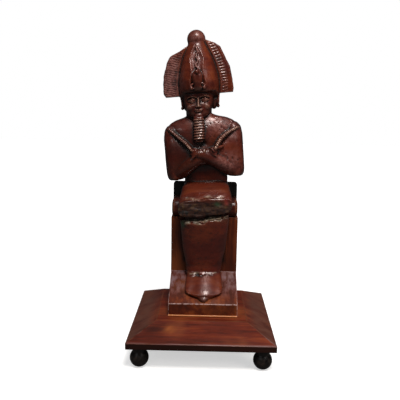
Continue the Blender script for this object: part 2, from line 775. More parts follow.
def between(rows, steps):
    """Rows between the given ones, on a curve that doesn't swing past them."""
    rows = np.array(rows, dtype=float)
    run = np.maximum(np.linalg.norm(np.diff(rows[:, :3], axis=0), axis=1), 1e-6)
    rise = np.diff(rows, axis=0) / run[:, None]
    before, after = rise[:-1], rise[1:]
    steady = before * after > 0
    total = np.where(steady, before + after, 1.0)
    tangent = np.vstack([rise[:1], np.where(steady, 2 * before * after / total, 0.0), rise[-1:]])
    out = []
    for i, length in enumerate(run):
        for k in range(steps):
            t = k / steps
            a, b = rows[i], rows[i + 1]
            bend = t * t * (3 - 2 * t)
            out.append(a + (b - a) * bend + t * (1 - t) ** 2 * tangent[i] * length
                       - t * t * (1 - t) * tangent[i + 1] * length)
    out.append(rows[-1])
    return np.array(out)


def ring_shape(sides, fullness):
    """Unit ring, round at a fullness of 2 and squarer above it."""
    angles = 2 * math.pi * np.arange(sides) / sides
    c, s = np.cos(angles), np.sin(angles)
    power = 2.0 / fullness
    return np.sign(c) * np.abs(c) ** power, np.sign(s) * np.abs(s) ** power


def wrap(rings, lean=LEAN):
    """A closed form through rings of equal count, given in the figure's frame."""
    rings = np.asarray(rings, float)
    count, sides = rings.shape[:2]
    bpy.ops.object.select_all(action="DESELECT")
    bpy.ops.mesh.primitive_grid_add(x_subdivisions=sides, y_subdivisions=count - 1, size=1)
    piece = bpy.context.object
    closed = np.concatenate([rings, rings[:, :1]], axis=1).reshape(-1, 3)
    set_coordinates(piece, settle(closed, lean) if lean is not None else closed)
    bpy.ops.object.mode_set(mode="EDIT")
    bpy.ops.mesh.select_all(action="SELECT")
    bpy.ops.mesh.remove_doubles(threshold=1e-6)
    bpy.ops.mesh.fill_holes(sides=0)
    bpy.ops.mesh.select_all(action="SELECT")
    bpy.ops.mesh.normals_make_consistent(inside=False)
    bpy.ops.object.mode_set(mode="OBJECT")
    forms.append(piece)
    return piece


def column(rows, fullness=2.3, steps=4, sides=48, lean=LEAN, carve=None):
    """Level rings. Row: h, middle x, front f, back f, half width, front lift."""
    cx, cy = ring_shape(sides, fullness)
    rings = []
    for h, middle_x, front, back_f, half, lift in between(rows, steps):
        f = (front + back_f) / 2 - cy * (front - back_f) / 2
        rings.append(np.column_stack([middle_x + cx * half, f, h - lift * np.clip(1.7 * cy, -1, 1)]))
    rings = np.array(rings)
    return wrap(carve(rings) if carve else rings, lean)


def rod(rows, steps=4, sides=16, beads=0.0, pitch=1.0, lean=LEAN):
    """A bent rod. Row: x, f, h, radius across, radius in depth."""
    rows = between(rows, steps)
    way = np.gradient(rows[:, :3], axis=0)
    way /= np.linalg.norm(way, axis=1)[:, None]
    along = np.concatenate([[0.0], np.cumsum(np.linalg.norm(np.diff(rows[:, :3], axis=0), axis=1))])
    cx, cy = ring_shape(sides, 2.0)
    rings = []
    for row, direction, s in zip(rows, way, along):
        side = np.cross(direction, (0.0, 1.0, 0.0))
        side /= np.linalg.norm(side)
        out = np.cross(side, direction)
        swell = 1.0 + beads * math.sin(2 * math.pi * s / pitch)
        rings.append(row[:3] + np.outer(cx * row[3] * swell, side) + np.outer(cy * row[4] * swell, out))
    return wrap(rings, lean)


def slab(rows, side):
    """Upright rings set side by side. Row: x, back f, front f, low h, high h."""
    sides = 40
    cf, ch = ring_shape(sides, 2.6)
    rings = [np.column_stack([np.full(sides, side * x), (back_f + front) / 2 + cf * (front - back_f) / 2,
                              (low_h + high_h) / 2 + ch * (high_h - low_h) / 2])
             for x, back_f, front, low_h, high_h in between(rows, 4)]
    return wrap(rings)


def lump(x, f, h, half_x, half_f, half_h, lean=LEAN, tip=0.0):
    """An egg-shaped mass from a sphere, tipped in the figure's front view."""
    bpy.ops.object.select_all(action="DESELECT")
    bpy.ops.mesh.primitive_uv_sphere_add(segments=24, ring_count=14, radius=1)
    piece = bpy.context.object
    points = coordinates(piece) * (half_x, half_f, half_h)
    c, s = math.cos(tip), math.sin(tip)
    turned = np.column_stack([points[:, 0] * c - points[:, 2] * s, points[:, 1],
                              points[:, 0] * s + points[:, 2] * c])
    set_coordinates(piece, settle(turned + (x, f, h), lean))
    forms.append(piece)
    return piece


print("ready to wrap forms")

# %% [markdown]
# Lap, shins and feet
#
# The lap is one wrapped mass that runs forward over the seat and dips towards the
# knees, where it ends in a broken face. The shins are a second mass below the
# break, tapering to the ankles, and the feet a third, lying down the footrest. They
# don't lean, because they rest on the stand. Rings of the shins climb to the right
# near the top, as the real break does.

# %% Lower body
REST = 0.5
SHIN_ANKLE = (wedge_high.z - SEAT_TOP) / MM + 3.0
SHIN_TOP = -13.0
SEAT_OVERHANG = 3.2
REAR_GAP = 0.6


def lap():
    nose = THRONE_DEPTH
    rows = between((
        (0.5, 0, 0, 15.0, 3.0, 9.0, 0.0), (1.3, 0, 0, 18.0, 1.2, 12.5, 0.0),
        (4.0, 0, 0, 20.0, REST, 15.0, 0.0), (12.0, 0, 0, 20.3, REST, 16.8, 0.4),
        (nose - 4.0, -0.1, 0, 20.2, REST, 16.8, 1.6), (nose + 1.5, -0.3, 0, 20.8, REST, 15.8, 3.0),
        (nose + 6.0, -0.5, 0, 21.6, -5.0, 13.6, 4.2), (nose + 11.0, -0.7, 0, 22.5, -8.8, 10.8, 5.0),
        (nose + 16.0, -0.8, 0, 23.0, -10.2, 7.2, 5.4), (nose + 19.8, -0.8, 0, 23.0, -10.6, 4.9, 5.8),
        (nose + 20.8, -0.8, 0, 22.5, -10.1, 4.3, 5.8)), 5)
    cx, cy = ring_shape(64, 3.6)
    rings = []
    for f, shift, _, half, low_h, high_h, tilt in rows:
        x = shift + cx * half
        h = (low_h + high_h) / 2 + cy * (high_h - low_h) / 2 + x * math.tan(math.radians(tilt))
        if f < nose + 1.6:
            h = np.maximum(h, REST)
        rings.append(np.column_stack([x, np.full(len(x), f), h]))
    return wrap(rings, 0.0)


def broken_rim(x):
    """Height of the shins' broken top: it sags left of the middle and climbs to the right."""
    return SHIN_TOP + 0.13 * x + 0.5 * np.sin(x * 0.45) - 1.6 * np.exp(-((x + 6.0) / 9.0) ** 2)


def climbing_break(rings):
    x, h = rings[..., 0], rings[..., 2]
    share = np.clip((h - (h.max() - 8.0)) / 8.0, 0.0, 1.0)
    rings[..., 2] = h + share * (broken_rim(x) - SHIN_TOP)
    return rings


def shins():
    rear, clear = REAR_GAP, SEAT_OVERHANG + REAR_GAP
    stations = (
        (-0.06, 13.8, rear, 14.4, -2.6), (-0.02, 14.0, rear, 14.8, -2.6), (0.02, 13.7, rear, 15.0, -2.5),
        (0.06, 12.8, rear, 15.5, -2.0), (0.11, 12.5, rear, 15.8, -1.4), (0.19, 13.2, rear, 16.4, -0.6),
        (0.39, 14.8, rear, 18.4, 0.0), (0.65, 17.0, rear, 19.8, 0.0), (0.82, 18.3, rear, 20.5, 0.0),
        (0.93, 19.0, clear, 20.9, 0.0), (1.0, 19.2, clear, 20.9, 0.0))
    length = SHIN_TOP - SHIN_ANKLE
    rows = [(SHIN_ANKLE + share * length, -0.9, THRONE_DEPTH + front, THRONE_DEPTH + back_f, half, lift)
            for share, front, back_f, half, lift in stations]
    column(rows, lean=0.0, carve=climbing_break, steps=6, sides=64)
    core_front, core_rear = THRONE_DEPTH + 15.5, THRONE_DEPTH + clear + 1.0
    column([(h, -0.5, core_front, core_rear, 17.0, 0.0) for h in (SHIN_TOP - 4.0, -4.0)], lean=0.0)


def feet():
    down = np.array((0.0, -math.cos(SLOPE), -math.sin(SLOPE)))
    outward = np.array((0.0, -math.sin(SLOPE), math.cos(SLOPE)))
    top = np.array((THRONE_MIDDLE + 0.4 * MM, wedge_high.y, wedge_high.z))
    block = (
        (1.0, 0, 0, 12.0, 6.4), (3.5, 0, 0, 14.2, 7.8), (7.5, 0, 0, 15.0, 8.2), (13.0, 0, 0, 15.6, 7.6),
        (19.0, 0, 0, 16.0, 6.6), (24.0, 0, 0, 16.2, 5.6), (27.6, 0, 0, 15.4, 4.9), (30.0, 0, 0, 13.2, 4.3),
        (31.6, 0, 0, 9.8, 3.8), (32.6, 0, 0, 6.0, 3.4), (33.1, 0, 0, 2.4, 3.0))
    tang = ((29.0, 0, 0, 5.6, 2.8), (32.4, 0, 0, 4.6, 2.5), (34.6, 0, 0, 2.8, 2.0), (36.2, 0, 0, 1.2, 1.2))
    for stations, sides, fullness in ((block, 48, 2.1), (tang, 20, 2.0)):
        cx, cy = ring_shape(sides, fullness)
        rings = []
        for s, _, _, half, height in between(stations, 5):
            rise = MM * (REST + height * (cy + 1) / 2)
            ring = top + np.outer(np.full(sides, s * MM), down) + np.outer(rise, outward)
            ring[:, 0] += cx * half * MM
            rings.append(ring)
        wrap(rings, None)


lap()
shins()
feet()
print("lower body:", len(forms), "forms")

# %% [markdown]
# Body, arms and sceptres
#
# The chest is broad and shallow. The arms hang under a close cloak, bend at the
# elbows and cross over the chest, so each is an upper arm, a forearm, a fist, and a
# slab of cloak that fills the bend. From the fists two thin beaded sceptres run up
# to the points of the shoulders: their bright beads draw the V on the chest. A low
# plain ridge behind each rod joins it to the chest, as wax would have to be joined.

# %% Upper body
def chest():
    column((
        (6.0, 0, 25.0, 3.0, 16.5, 0), (10.0, 0, 25.6, 2.0, 19.0, 0), (17.5, 0, 24.8, 2.6, 19.2, 0),
        (25.0, 0, 24.6, 3.6, 18.2, 0), (35.0, 0, 26.0, 4.0, 19.4, 0), (45.0, 0, 27.0, 3.5, 23.0, 0),
        (55.0, 0, 27.4, 3.0, 27.0, 0), (62.0, 0, 26.6, 3.4, 30.0, 0), (66.5, 0, 25.0, 4.6, 28.6, 0),
        (70.0, 0, 23.0, 6.2, 23.0, 0), (72.6, 0, 21.5, 7.8, 14.0, 0), (74.5, 0, 21.0, 9.0, 10.0, 0)),
        fullness=2.7, steps=6, sides=72)


def arms():
    upper = ((24.4, 17, 65.0, 3.0, 5.0), (25.6, 17, 62.8, 5.8, 7.8), (26.8, 17, 59, 7.0, 9.4),
             (27.2, 17.2, 50, 7.0, 9.8), (26.9, 17.8, 40, 6.8, 9.6), (26.8, 18.6, 31, 6.6, 9.3),
             (26.6, 19.5, 24, 6.4, 8.6), (26.6, 20, 20.6, 5.4, 7.2), (26.6, 20, 19.0, 3.0, 4.6))
    fore = ((26.0, 21, 25.4, 6.4, 6.4), (18.0, 26.0, 30.0, 6.6, 6.2), (9.0, 30.0, 35.6, 6.2, 5.4),
            (1.0, 31.8, 39.6, 5.2, 4.4), (-5.0, 32.8, 41.6, 4.4, 3.6))
    cloak = ((34.4, 14.0, 20.0, 25.0, 56.0), (33.6, 11.0, 24.0, 21.0, 59.4), (31.0, 9.0, 27.6, 18.6, 61.8),
             (27.0, 8.0, 29.6, 18.5, 62.4), (21.0, 9.0, 31.0, 19.4, 57.4), (15.0, 12.0, 32.4, 22.6, 51.4),
             (9.0, 14.0, 33.8, 27.4, 46.6), (3.0, 15.0, 34.8, 30.8, 45.0), (-3.0, 16.0, 34.6, 31.4, 43.6))
    for side, front in ((-1, 0.0), (1, 1.0)):
        rod([(side * x, f, h, rx, rf) for x, f, h, rx, rf in upper], steps=6, sides=40)
        rod([(side * x, f + front * (1 - x / 26.0), h, rx, rf) for x, f, h, rx, rf in fore],
            steps=6, sides=32)
        slab(cloak, side)
        lump(-side * 7.6, 33.6 + front, 42.4, 4.2, 3.4, 4.2)
        for finger in range(4):
            across, height = -side * (7.4 + 0.5 * finger), 44.6 - 1.7 * finger
            lump(across, 35.8 + front, height, 2.6, 1.2, 1.0, tip=side * 0.5)


# Each sceptre's path: x, f, h.
SCEPTRES = (
    ((-6.5, 36.5, 41.0), (-9.6, 36.4, 44.2), (-14.0, 34.0, 49.8), (-20.0, 30.8, 55.4), (-26.0, 27.4, 61.0),
     (-28.6, 24.6, 63.2), (-29.8, 20.5, 62.6)),
    ((8.4, 36.2, 42.6), (9.8, 36.6, 45.0), (14.6, 34.4, 52.4), (20.5, 31.0, 57.0), (26.0, 27.8, 59.6),
     (30.0, 24.6, 61.0), (31.4, 20.5, 60.4)))


def sceptres():
    for path in SCEPTRES:
        rod([(*p, 1.3, 1.3) for p in path], steps=24, sides=16, beads=0.24, pitch=1.8)
        rod([(x, f - 5.4, h - 0.6, 2.1, 5.4) for x, f, h in path[1:5]], steps=6, sides=32)
    rod(((7.5, 36.6, 43.0, 1.4, 1.4), (12.0, 35.6, 45.6, 1.3, 1.3), (17.4, 32.4, 46.8, 1.1, 1.1)))
    lump(0.4, 35.6, 43.4, 1.5, 1.6, 2.0)
    for x, h in ((-9.8, 44.8), (9.8, 45.2)):
        lump(x, 37.2, h, 1.3, 1.2, 1.3)


chest()
arms()
sceptres()
print("with the upper body:", len(forms), "forms")

# %% [markdown]
# Head and beard
#
# The face isn't a portrait of this or any other statue. It is set out as drawing
# books do it, in equal thirds: chin to the base of the nose, to the brow, to the
# hair line, which the crown covers. The eyes sit on the line a little below the
# brows, one eye's width apart. The beard is a straight plait in eight turns.

# %% Face, ears and beard
CHIN, THIRD = 71.8, 8.4
NOSE_BASE, BROW = CHIN + THIRD, CHIN + 2 * THIRD
FACE_FRONT = 29.4
FACE_TURN = -1.0
EYE_LEVEL, EYE_PLACE, HALF_EYE = BROW - 2.7, 5.3, 2.9


def carved_sockets(rings):
    """Presses the two eye sockets into the front of the head."""
    x, f, h = rings[..., 0], rings[..., 1], rings[..., 2]
    for side in (-1, 1):
        away = ((x - FACE_TURN - side * EYE_PLACE) / 4.3) ** 2 + ((h - EYE_LEVEL - 0.3) / 2.7) ** 2
        rings[..., 1] = rings[..., 1] - np.where(f > 16.0, 1.7 * np.exp(-away ** 2), 0.0)
    return rings


def skull():
    t, front = FACE_TURN, FACE_FRONT
    column(((68.0, t, 22.0, 7.0, 12.0, 0), (74.0, t, 22.5, 6.0, 11.2, 0), (84.0, t, 24.0, 4.0, 11.6, 0)))
    column((
        (CHIN - 0.4, t, front - 2.6, 17.0, 4.4, 0), (CHIN + 0.8, t, front - 1.0, 12.0, 7.2, 0),
        (CHIN + 3.6, t, front - 0.2, 7.0, 9.9, 0), (NOSE_BASE, t, front, 3.5, 12.0, 0),
        (NOSE_BASE + 4.5, t, front - 0.2, 2.0, 13.1, 0), (BROW, t, front - 0.6, 1.0, 13.8, 0),
        (BROW + THIRD, t, front - 1.0, 1.0, 14.2, 0)),
        fullness=2.4, steps=10, sides=120, carve=carved_sockets)


def nose_and_mouth():
    t, front = FACE_TURN, FACE_FRONT
    column((
        (NOSE_BASE - 0.3, t, front + 1.7, front - 3, 1.2, 0),
        (NOSE_BASE + 0.7, t, front + 2.7, front - 3, 1.6, 0),
        (NOSE_BASE + 3.5, t, front + 1.8, front - 3, 1.1, 0),
        (BROW - 0.6, t, front + 0.7, front - 3, 0.9, 0)),
        fullness=2.0, sides=20)
    mouth = CHIN + THIRD * 2 / 3
    for side in (-1, 1):
        lump(t + side * 1.45, front + 0.7, NOSE_BASE + 0.55, 0.95, 1.2, 0.85)
        lump(t + side * 1.5, front - 0.1, mouth + 0.62, 2.2, 1.25, 0.62, tip=-side * 0.12)
    lump(t, front - 0.1, mouth - 0.7, 2.9, 1.25, 0.75)
    lump(t, front - 1.2, CHIN + 1.7, 3.4, 2.0, 1.9)
    for side in (-1, 1):
        lump(t + side * 5.8, front - 3.9, NOSE_BASE + 0.2, 4.4, 3.3, 3.8)


def eyes_and_ears():
    for side in (-1, 1):
        middle_x = FACE_TURN + side * EYE_PLACE
        lump(middle_x, FACE_FRONT - 2.7, EYE_LEVEL, HALF_EYE - 0.3, 2.0, 1.3)
        for lid, bulge in (("upper", 1.55), ("lower", -1.35)):
            arch = [(middle_x + side * HALF_EYE * k, FACE_FRONT - 1.25 - 0.5 * abs(k) - 0.8 * max(k, 0),
                     EYE_LEVEL + bulge * (1 - k * k), 0.45, 0.60) for k in (-1.05, -0.5, 0.0, 0.5, 1.2)]
            rod(arch, sides=10)
        brow_arch = [(middle_x + side * 4.1 * k, FACE_FRONT - 0.7 - 1.9 * max(k, 0),
                      BROW + 0.7 - 1.0 * k * k, 0.65, 0.8) for k in (-0.95, -0.3, 0.3, 1.0)]
        rod(brow_arch, sides=10)
        ear = 0.4 + side * 15.0
        ear_h = (NOSE_BASE + BROW) / 2 + 0.4
        lump(ear - side * 0.4, 14.6, ear_h, 2.2, 4.2, 5.0)
        lump(ear - side * 3.0, 13.0, ear_h + 0.6, 3.8, 6.2, 7.6)
        rim = [(ear + side * (0.9 + 0.5 * math.sin(a)), 16.4 + 2.2 * math.cos(a),
                ear_h + 0.5 + 4.9 * math.sin(a), 0.8, 0.8) for a in np.linspace(-1.35, 1.9, 7)]
        rod(rim, sides=10)
        lump(ear + side * 0.5, 16.6, ear_h - 4.4, 1.4, 1.6, 1.6)


def beard():
    plaits, low_h, high_h = 8, 52.4, 70.6
    rows = [(low_h - 1.4, -3.7, 30.0, 24.0, 4.2, 0)]
    for i in range(plaits * 10 + 1):
        t = i / (plaits * 10)
        bulge = 1.5 * abs(math.sin(math.pi * plaits * t)) ** 0.7
        height, across = low_h + t * (high_h - low_h), -3.7 + 2.2 * t
        rows.append((height, across, 30.6 + bulge, 23.0, 4.1 + 0.5 * bulge, 0.35))
    rows.append((high_h + 2.0, -1.3, 30.0, 20.0, 4.6, 0))
    column(rows, fullness=3.0, steps=1, sides=40)


skull()
nose_and_mouth()
eyes_and_ears()
beard()
print("with the head:", len(forms), "forms")

# %% [markdown]
# Crown and plumes
#
# The crown is a tall skittle shape with a round knob. A pointed channel is sunk in
# its front, where a cobra rears: a hood at the bottom, its body winding up the
# channel. A plume stands on each side, a flat blade with a rib beside the crown and
# barbs that run out to its edge, thickest where they meet the rib.

# %% Crown, cobra and plumes
CROWN = (
    (87.0, 0, 31.4, 0.9, 15.6, 5.5), (88.4, 0, 32.5, -0.2, 16.8, 5.0), (92.0, 0, 32.8, -0.8, 17.3, 3.6),
    (100.5, 0, 33.0, -1.0, 17.5, 0.8), (105.0, 0, 32.6, -0.6, 17.1, 0), (109.7, 0, 31.8, 0.2, 16.2, 0),
    (115.0, 0, 30.5, 1.5, 14.9, 0), (119.4, 0, 29.2, 2.8, 13.5, 0), (123.0, 0, 27.9, 4.1, 12.1, 0),
    (126.7, 0, 26.2, 5.8, 10.3, 0), (130.0, 0, 24.8, 7.2, 8.8, 0), (133.4, 0, 23.5, 8.5, 7.5, 0),
    (136.0, 0, 23.2, 8.8, 7.2, 0))
CROWN_HEIGHTS = [row[0] for row in CROWN]
FEATHERS = (
    (-1, ((29.5, 91.1), (31.0, 93.0), (31.3, 97.0), (31.1, 101.0), (30.3, 108.0), (27.7, 116.0),
          (26.0, 120.6), (24.0, 123.8), (22.0, 125.2), (15.3, 127.8), (7.9, 132.1))),
    (1, ((29.4, 91.8), (29.8, 94.3), (28.6, 106.0), (27.3, 113.7), (24.6, 119.1), (22.0, 125.5),
         (19.8, 130.0), (15.5, 133.1), (10.3, 135.1), (7.7, 136.1))))
# For each side's plume: barb pitch, barb relief, and how far the barbs reach from the rib.
PLUME_STYLES = {-1: (1.85, 0.50, 20.0), 1: (2.35, 0.72, 6.5)}
CHANNEL_HEIGHTS = (93.5, 95.5, 100.0, 104.0, 108.5, 113.0, 120.0, 126.0, 132.5)
CHANNEL_HALVES = (0.0, 6.6, 6.6, 5.9, 4.6, 4.8, 5.7, 3.8, 0.0)


def crown_front(h):
    return np.interp(h, CROWN_HEIGHTS, [row[2] for row in CROWN])


def crown_half_width(h):
    return np.interp(h, CROWN_HEIGHTS, [row[4] for row in CROWN])


def sunk_channel(rings):
    x, f, h = rings[..., 0], rings[..., 1], rings[..., 2]
    half = np.interp(h, CHANNEL_HEIGHTS, CHANNEL_HALVES)
    edge = np.abs(x + 0.8)
    inside = np.clip((half - edge) / 2.4, 0.0, 1.0)
    lip = np.exp(-((edge - half - 0.3) / 0.6) ** 2) * (half > 0.3)
    rings[..., 1] = f + np.where(f > 16.0, 0.25 * lip - 1.9 * inside, 0.0)
    return rings


def crown():
    column(CROWN, steps=8, sides=160, fullness=2.0, carve=sunk_channel)
    lump(0.0, 16.0, 137.0, 7.9, 7.9, 7.8)


def cobra():
    column((
        (93.6, -1.0, 33.6, 29.0, 3.2, 0), (95.2, -1.0, 34.2, 29.0, 4.4, 0),
        (97.6, -1.0, 34.6, 29.0, 3.2, 0), (101.5, -1.0, 35.6, 29.0, 4.2, 0),
        (105.5, -1.0, 36.0, 29.0, 4.5, 0), (108.8, -1.0, 35.4, 29.0, 3.4, 0),
        (110.6, -1.0, 34.4, 29.0, 1.6, 0)), sides=32)
    lump(-1.0, 35.7, 108.6, 1.6, 1.5, 1.9)
    for side in (-1, 1):
        lump(-1.0 + side * 5.3, 33.6, 95.8, 1.6, 1.7, 1.7)
        rod(((-1.0 + side * 3.8, 33.4, 99.6, 0.8, 0.8), (-1.0 + side * 5.6, 33.3, 98.2, 0.9, 0.9),
             (-1.0 + side * 6.2, 33.2, 96.0, 1.0, 1.0)), sides=10)
    body = []
    for i in range(41):
        h = 109.0 + 21.0 * i / 40
        wave = 1.35 * math.sin(2 * math.pi * (h - 109.0) / 7.4) * (1 - i / 50)
        body.append((-0.8 + 0.9 * i / 40 + wave, crown_front(h) - 0.5, h, 1.1 - 0.3 * i / 40, 1.1))
    rod(body, steps=2, sides=12, beads=0.12, pitch=1.4)


def plume(side, outline):
    low_h, top = outline[0][1] - 0.8, outline[-1][1]
    edge_h = [h for _, h in outline]
    edge_x = [x for x, _ in outline]
    columns = 36
    rng = np.random.default_rng(7 + side)
    notches = rng.uniform(-0.35, 0.15, 60)
    pitch, strength, reach = PLUME_STYLES[side]
    rings = []
    for h in np.arange(low_h, top, 0.22):
        outer = float(np.interp(h, edge_h, edge_x)) + notches[int(h / 2.1) % 60] * 0.6
        inner = float(crown_half_width(h)) * 0.55
        rib = float(crown_half_width(h)) + 1.5
        x = np.linspace(inner, max(outer, inner + 1.0), columns)
        slant = h - 0.22 * (x - rib) + 0.25 * np.sin(0.9 * x + 0.35 * h)
        starts = np.clip((x - rib - 0.6) / 0.8, 0.0, 1.0)
        fade = np.clip((rib + reach - x) / 2.0, 0.15, 1.0)
        barb = strength * starts * fade * np.abs(np.sin(math.pi * slant / pitch)) ** 0.8
        ridge = np.exp(-((x - rib) / 1.0) ** 2)
        thick = 1.25 + barb + 1.2 * ridge
        thick = thick * np.sqrt(np.clip((outer - x) / 1.4 + 0.15, 0.15, 1.0))
        centre = 17.0 - 0.006 * (x - rib).clip(0) ** 2
        front = np.column_stack([side * x, centre + thick, np.full(columns, h)])
        rear = np.column_stack([side * x, centre - thick, np.full(columns, h)])
        rings.append(np.vstack([front, rear[::-1]]))
    wrap(rings)


crown()
cobra()
for hand, outline in FEATHERS:
    plume(hand, outline)
print("all", len(forms), "forms")

# %% [markdown]
# One casting
#
# The masses overlap like clay pressed together. Joining them and remeshing the
# result on a fine grid of cubes gives one skin with no seams inside, and a little
# smoothing rounds off the steps that the cubes leave, as wax does when it is rubbed.
# A bubble closed in between the masses would stay inside, so only the skin that hangs
# together with the crown's highest point is kept.

# %% Join and remesh
SKIN_STEP = 0.40 * MM
bpy.ops.object.select_all(action="DESELECT")
for form in forms:
    form.select_set(True)
bpy.context.view_layer.objects.active = forms[0]
bpy.ops.object.join()
king = bpy.context.object
print("joined", len(king.data.vertices), "points")
apply(king, "REMESH", mode="VOXEL", voxel_size=SKIN_STEP)
highest = max(vertex.co.z for vertex in king.data.vertices)
pick(king, "verts", lambda vertex: vertex.co.z == highest)
bpy.ops.mesh.select_linked()
bpy.ops.mesh.select_all(action="INVERT")
bpy.ops.mesh.delete(type="VERT")
done()
apply(king, "SMOOTH", factor=0.5, iterations=3)
print("skin has", len(king.data.vertices), "points")

# %% [markdown]
# Time and damage
#
# What makes the bronze look old is small relief: a gently uneven skin, pits where
# corrosion was cleaned away, brushed scratches, a broken rough face at the knees
# with a torn rim below it, and a crack at the ankles. Each is a shallow change along
# the surface, so it is written as a formula of the place on the figure, from a
# smooth random field, and the points of the skin are moved by it.

# %% Random fields on the figure
def field(points, size, seed):
    """Smooth random values from -1 to 1, about one swing per size."""
    table = np.random.default_rng(seed).uniform(-1, 1, (32, 32, 32))
    cells = np.asarray(points) / size
    base = np.floor(cells).astype(int)
    part = cells - base
    part = part * part * (3 - 2 * part)
    total = np.zeros(len(cells))
    for corner in range(8):
        step = np.array([(corner >> k) & 1 for k in range(3)])
        weight = np.prod(np.where(step, part, 1 - part), axis=1)
        index = (base + step) % 32
        total += weight * table[index[:, 0], index[:, 1], index[:, 2]]
    return total


def near(value, centre, width):
    """1 at a centre, fading to 0 beyond a width on each side."""
    return np.exp(-((value - centre) / width) ** 2)


def ramp_up(value, start, end):
    """0 before the start, 1 after the end, and smooth between."""
    t = np.clip((value - start) / (end - start), 0.0, 1.0)
    return t * t * (3 - 2 * t)


def ahead(f, start, end):
    """Ramps up between two distances in front of the throne's face."""
    return ramp_up(f, THRONE_DEPTH + start, THRONE_DEPTH + end)


def point_normals(piece):
    normals = np.empty(len(piece.data.vertices) * 3)
    piece.data.vertices.foreach_get("normal", normals)
    return normals.reshape(-1, 3)


# %% Where the breaks run
LAP_HALF, VOID_HALF, ANKLE_HALF = 26, 24, 15


def knee_edge(x):
    """Height of the chipped edge between the lap's top and the broken face."""
    return 5.2 + 0.10 * (x + 0.8) + 0.7 * np.sin(x * 0.32 + 1.0)


def second_tear(x, below):
    """Height of the lesser tear that runs below the broken rim."""
    return broken_rim(x) - below + 0.5 * np.sin(x * 0.9)


def ankle_break(x):
    """Height of the mended crack across the ankles."""
    return (wedge_high.z - SEAT_TOP) / MM + 1.4 + 0.4 * np.sin(x * 0.7) + 0.05 * x


print("ankle crack", round(float(ankle_break(0.0)), 1), "mm from the seat's top")

# %% Uneven skin, pits and scratches
places = coordinates(king)
outward_way = point_normals(king)
facing = -outward_way[:, 1]
upper, lower = unsettle(places, LEAN), unsettle(places, 0.0)
ux, _, uh = upper.T
x, f, h = lower.T
is_upper = ramp_up(h, 12.0, 18.0)

# Depth in millimetres, outwards positive.
depth = 0.07 * field(lower, 4.2, 1) + 0.02 * field(lower, 1.3, 2)
pits = ramp_up(field(lower, 1.5, 3), 0.42, 0.75)
pitted_chest = is_upper * near(ux, 17.0, 12.0) * near(uh, 62.0, 11.0) * ramp_up(facing, -0.2, 0.4)
pitted_elbow = is_upper * near(ux, 21.0, 8.0) * near(uh, 33.0, 7.0) * ramp_up(facing, 0.0, 0.5)
depth -= pits * (0.05 + 0.38 * pitted_chest + 0.45 * pitted_elbow)
depth += 0.22 * (pitted_chest + pitted_elbow) * field(lower, 2.4, 4)
scratches = field(lower * (0.16, 1.0, 1.0), 1.1, 5)
depth += 0.035 * scratches * ramp_up(facing, 0.1, 0.6)
chest_hollow = is_upper * near(ux, -2.0, 6.0) * near(uh, 49.0, 3.2) * ramp_up(facing, 0.0, 0.5)
depth -= 2.6 * chest_hollow
print("pitted points", int((pits > 0.5).sum()))

# %% Broken knees, torn rim and ankles
knee_face = ahead(f, 17.0, 19.6) * ramp_up(h, -13.5, -11.5) * (h < 12) * (np.abs(x) < LAP_HALF)
rough = 0.45 * field(lower * (0.6, 1, 1.3), 3.6, 6) + 0.16 * field(lower * (0.5, 1, 1.6), 1.5, 7)
depth += knee_face * (rough - 0.2)
chipped_edge = near(h, knee_edge(x), 1.5) * ahead(f, 14.0, 18.0) * (np.abs(x) < LAP_HALF)
depth -= chipped_edge * (0.45 + 0.75 * np.clip(field(lower, 2.6, 8), 0, 1))

rim_height = broken_rim(x)
torn_rim = near(h, rim_height - 0.6, 1.7) * ahead(f, 9.0, 15.0)
depth -= torn_rim * (0.30 + 0.9 * np.clip(field(lower * (1, 1, 1.5), 2.8, 9), 0, 1))
depth += torn_rim * 0.35 * field(lower, 1.2, 10)
void = near(h, rim_height + 1.0, 1.1) * ahead(f, 12.0, 16.0) * (np.abs(x) < VOID_HALF)
depth -= 1.1 * void * ramp_up(field(lower, 3.0, 12), -0.9, 0.1)
tear = near(h, second_tear(x, 1.9), 0.5) * ahead(f, 12.0, 16.0)
depth -= 0.55 * tear * ramp_up(x, -14.0, -6.0)

# The ridge is raised on top of the foot alone, so that the sole stays off the footrest.
on_foot = ahead(f, 11.0, 15.0) * (h < ankle_break(x) - 1.0) * ramp_up(facing, -0.2, 0.2)
depth += 0.85 * on_foot * (near(x, 0.4, 6.5) - 0.5 * near(np.abs(x - 0.4), 10.5, 4.0))

ankle_line = ankle_break(x)
ankle_front = ahead(f, 9.0, 11.0)
ankle_crack = near(h, ankle_line, 0.6) * ankle_front * (np.abs(x) < ANKLE_HALF)
depth -= ankle_crack * (0.15 + 0.7 * np.clip(field(lower, 2.2, 11), 0, 1))
ankle_hole = near(x, -5.6, 2.4) * near(h, ankle_line - 0.4, 1.0) * ankle_front
depth -= 1.5 * ankle_hole

set_coordinates(king, places + outward_way * (depth * MM)[:, None])
print("deepest mark", round(float(-depth.min()), 2), "mm")

# %% [markdown]
# Where it is hollow and where it is worn
#
# Patina stays dark in hollows and wears pale on ridges. Comparing each point with a
# smoothed copy of the surface tells which is which: a point that lies below the
# smooth surface is in a hollow, one that lies above is on a ridge. The two answers
# are kept as attributes for the material to read.

# %% Thin the mesh
KING_TRIANGLES = 186000
apply(king, "TRIANGULATE")
share_kept = min(1.0, KING_TRIANGLES / len(king.data.polygons))
apply(king, "DECIMATE", ratio=share_kept, use_collapse_triangulate=True)
only(king)
bpy.ops.object.shade_smooth()
edges = np.empty(len(king.data.edges) * 2, int)
king.data.edges.foreach_get("vertices", edges)
edges = edges.reshape(-1, 2)
places = coordinates(king)
outward_way = point_normals(king)
facing = -outward_way[:, 1]
upper, lower = unsettle(places, LEAN), unsettle(places, 0.0)
ux, _, uh = upper.T
x, f, h = lower.T
print("king has", len(king.data.polygons), "triangles")


